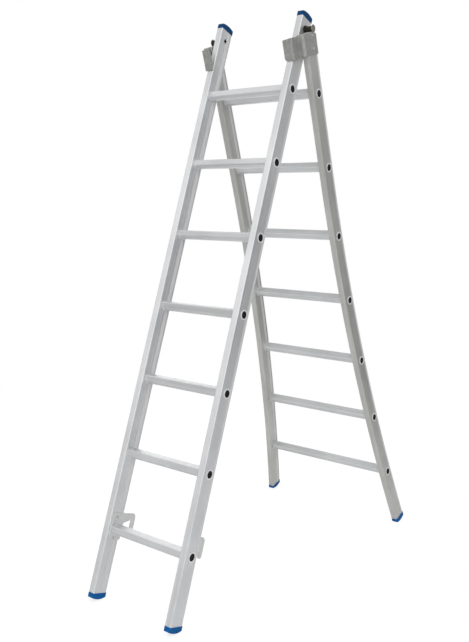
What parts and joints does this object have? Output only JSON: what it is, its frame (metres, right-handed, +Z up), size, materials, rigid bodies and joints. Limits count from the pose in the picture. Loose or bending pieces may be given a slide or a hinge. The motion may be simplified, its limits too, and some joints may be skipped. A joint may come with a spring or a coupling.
{
  "type": "combination ladder",
  "caption": "Two-section aluminium ladder that stands open as a stepladder, folds flat and slides out as an extension ladder, with a flared rear section and hooked front section.",
  "frame": {"origin": "on the floor, in the middle between the four feet", "axes": "+X along the rungs to the right, -Y to the climbing side of the front section, +Z up"},
  "size_m": [0.6432, 1.2956, 1.8929],
  "materials": {
    "stile_aluminium": "satin extruded",
    "rung_aluminium": "satin extruded",
    "galvanised_sheet": "galvanised",
    "zinc_steel": "zinc plated",
    "blue_plastic": "moulded",
    "black_plastic": "moulded",
    "grey_nylon": "moulded"
  },
  "bodies": {
    "rear_section": {"rear_left_stile": "stile_aluminium", "rear_right_stile": "stile_aluminium", "rear_rung_1": "rung_aluminium", "rear_rung_2": "rung_aluminium", "rear_rung_3": "rung_aluminium", "rear_rung_4": "rung_aluminium", "rear_rung_5": "rung_aluminium", "rear_rung_6": "rung_aluminium", "rear_rung_7": "rung_aluminium", "rear_left_foot": "blue_plastic", "rear_right_foot": "blue_plastic", "rear_left_top_plug": "grey_nylon", "rear_right_top_plug": "grey_nylon", "rear_rung_plugs": "black_plastic", "left_bracket": "galvanised_sheet", "right_bracket": "galvanised_sheet", "bracket_rivets": "zinc_steel"},
    "guide_buttons": {"left_guide_button": "grey_nylon", "right_guide_button": "grey_nylon"},
    "front_section": {"front_left_stile": "stile_aluminium", "front_right_stile": "stile_aluminium", "front_rung_1": "rung_aluminium", "front_rung_2": "rung_aluminium", "front_rung_3": "rung_aluminium", "front_rung_4": "rung_aluminium", "front_rung_5": "rung_aluminium", "front_rung_6": "rung_aluminium", "front_rung_7": "rung_aluminium", "front_left_foot": "blue_plastic", "front_right_foot": "blue_plastic", "front_left_cap": "blue_plastic", "front_right_cap": "blue_plastic", "front_rung_plugs": "black_plastic", "left_hook": "galvanised_sheet", "right_hook": "galvanised_sheet", "hook_rivets": "zinc_steel", "left_hinge_bolt": "zinc_steel", "right_hinge_bolt": "zinc_steel", "left_roller": "black_plastic", "right_roller": "black_plastic", "hinge_washers": "zinc_steel", "hinge_nuts": "zinc_steel"}
  },
  "joints": [
    {"name": "fold", "type": "hinge", "parent": "rear_section", "child": "guide_buttons", "pos_m": [0, -0.06894, 1.73344], "axis": [1, 0, 0], "range_deg": [0, 38]},
    {"name": "extend", "type": "slide", "parent": "guide_buttons", "child": "front_section", "axis": [0, 0.3173, 0.9483], "range_m": [0, 0.9527]}
  ]
}
